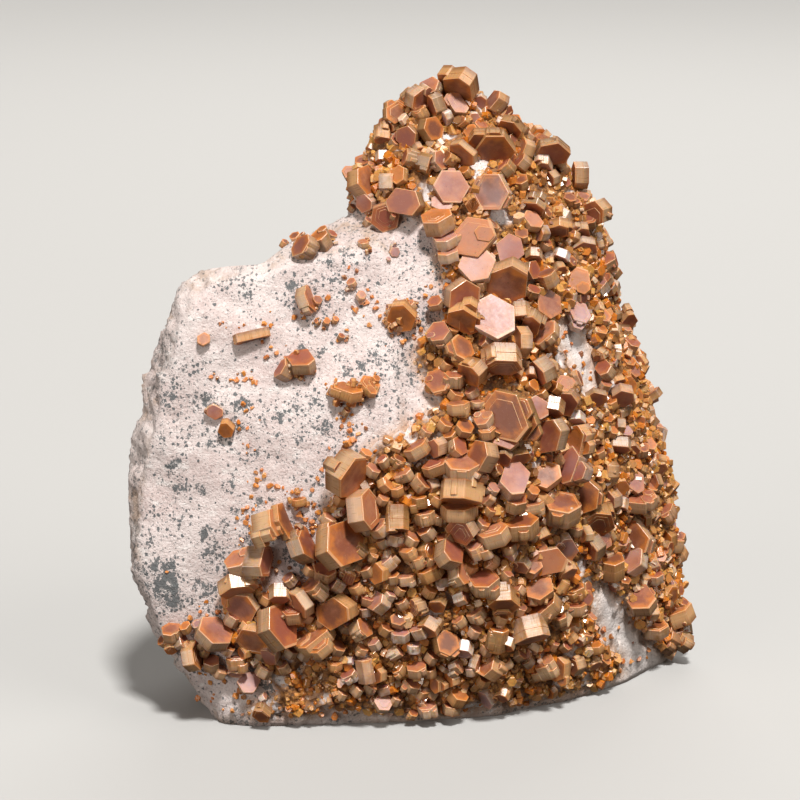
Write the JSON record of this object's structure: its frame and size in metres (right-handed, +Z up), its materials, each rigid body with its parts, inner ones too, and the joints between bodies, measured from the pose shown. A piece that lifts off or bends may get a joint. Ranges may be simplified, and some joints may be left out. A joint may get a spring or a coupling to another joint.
{
  "type": "vanadinite crystals on matrix",
  "caption": "Mineral specimen: hexagonal tablets and short prisms of vanadinite grown over one side and the peak of a pale rock that stands on its flat underside.",
  "frame": {"origin": "a point in the middle of the rock's flat underside", "axes": "+Z up to the peak, the longest way; -Y the side with the bare face and the crystals; +Y the shortest way; +X to the right seen from the front"},
  "size_m": [0.1144, 0.0776, 0.127],
  "materials": {
    "pale_rock": "matte",
    "vanadinite": "satin"
  },
  "bodies": {
    "root": {"matrix": "pale_rock", "joined_crystals": "vanadinite", "bar_crystal": "vanadinite", "joined_tablets": "vanadinite", "upright_tablet": "vanadinite", "left_flat_crystal": "vanadinite", "pink_flat_crystal": "vanadinite", "orange_flat_crystal": "vanadinite", "wedge_crystals": "vanadinite", "rimmed_crystals": "vanadinite", "ledge_crystals": "vanadinite", "paired_prisms": "vanadinite", "corner_crystals": "vanadinite", "low_flat_crystal": "vanadinite"}
  },
  "joints": []
}
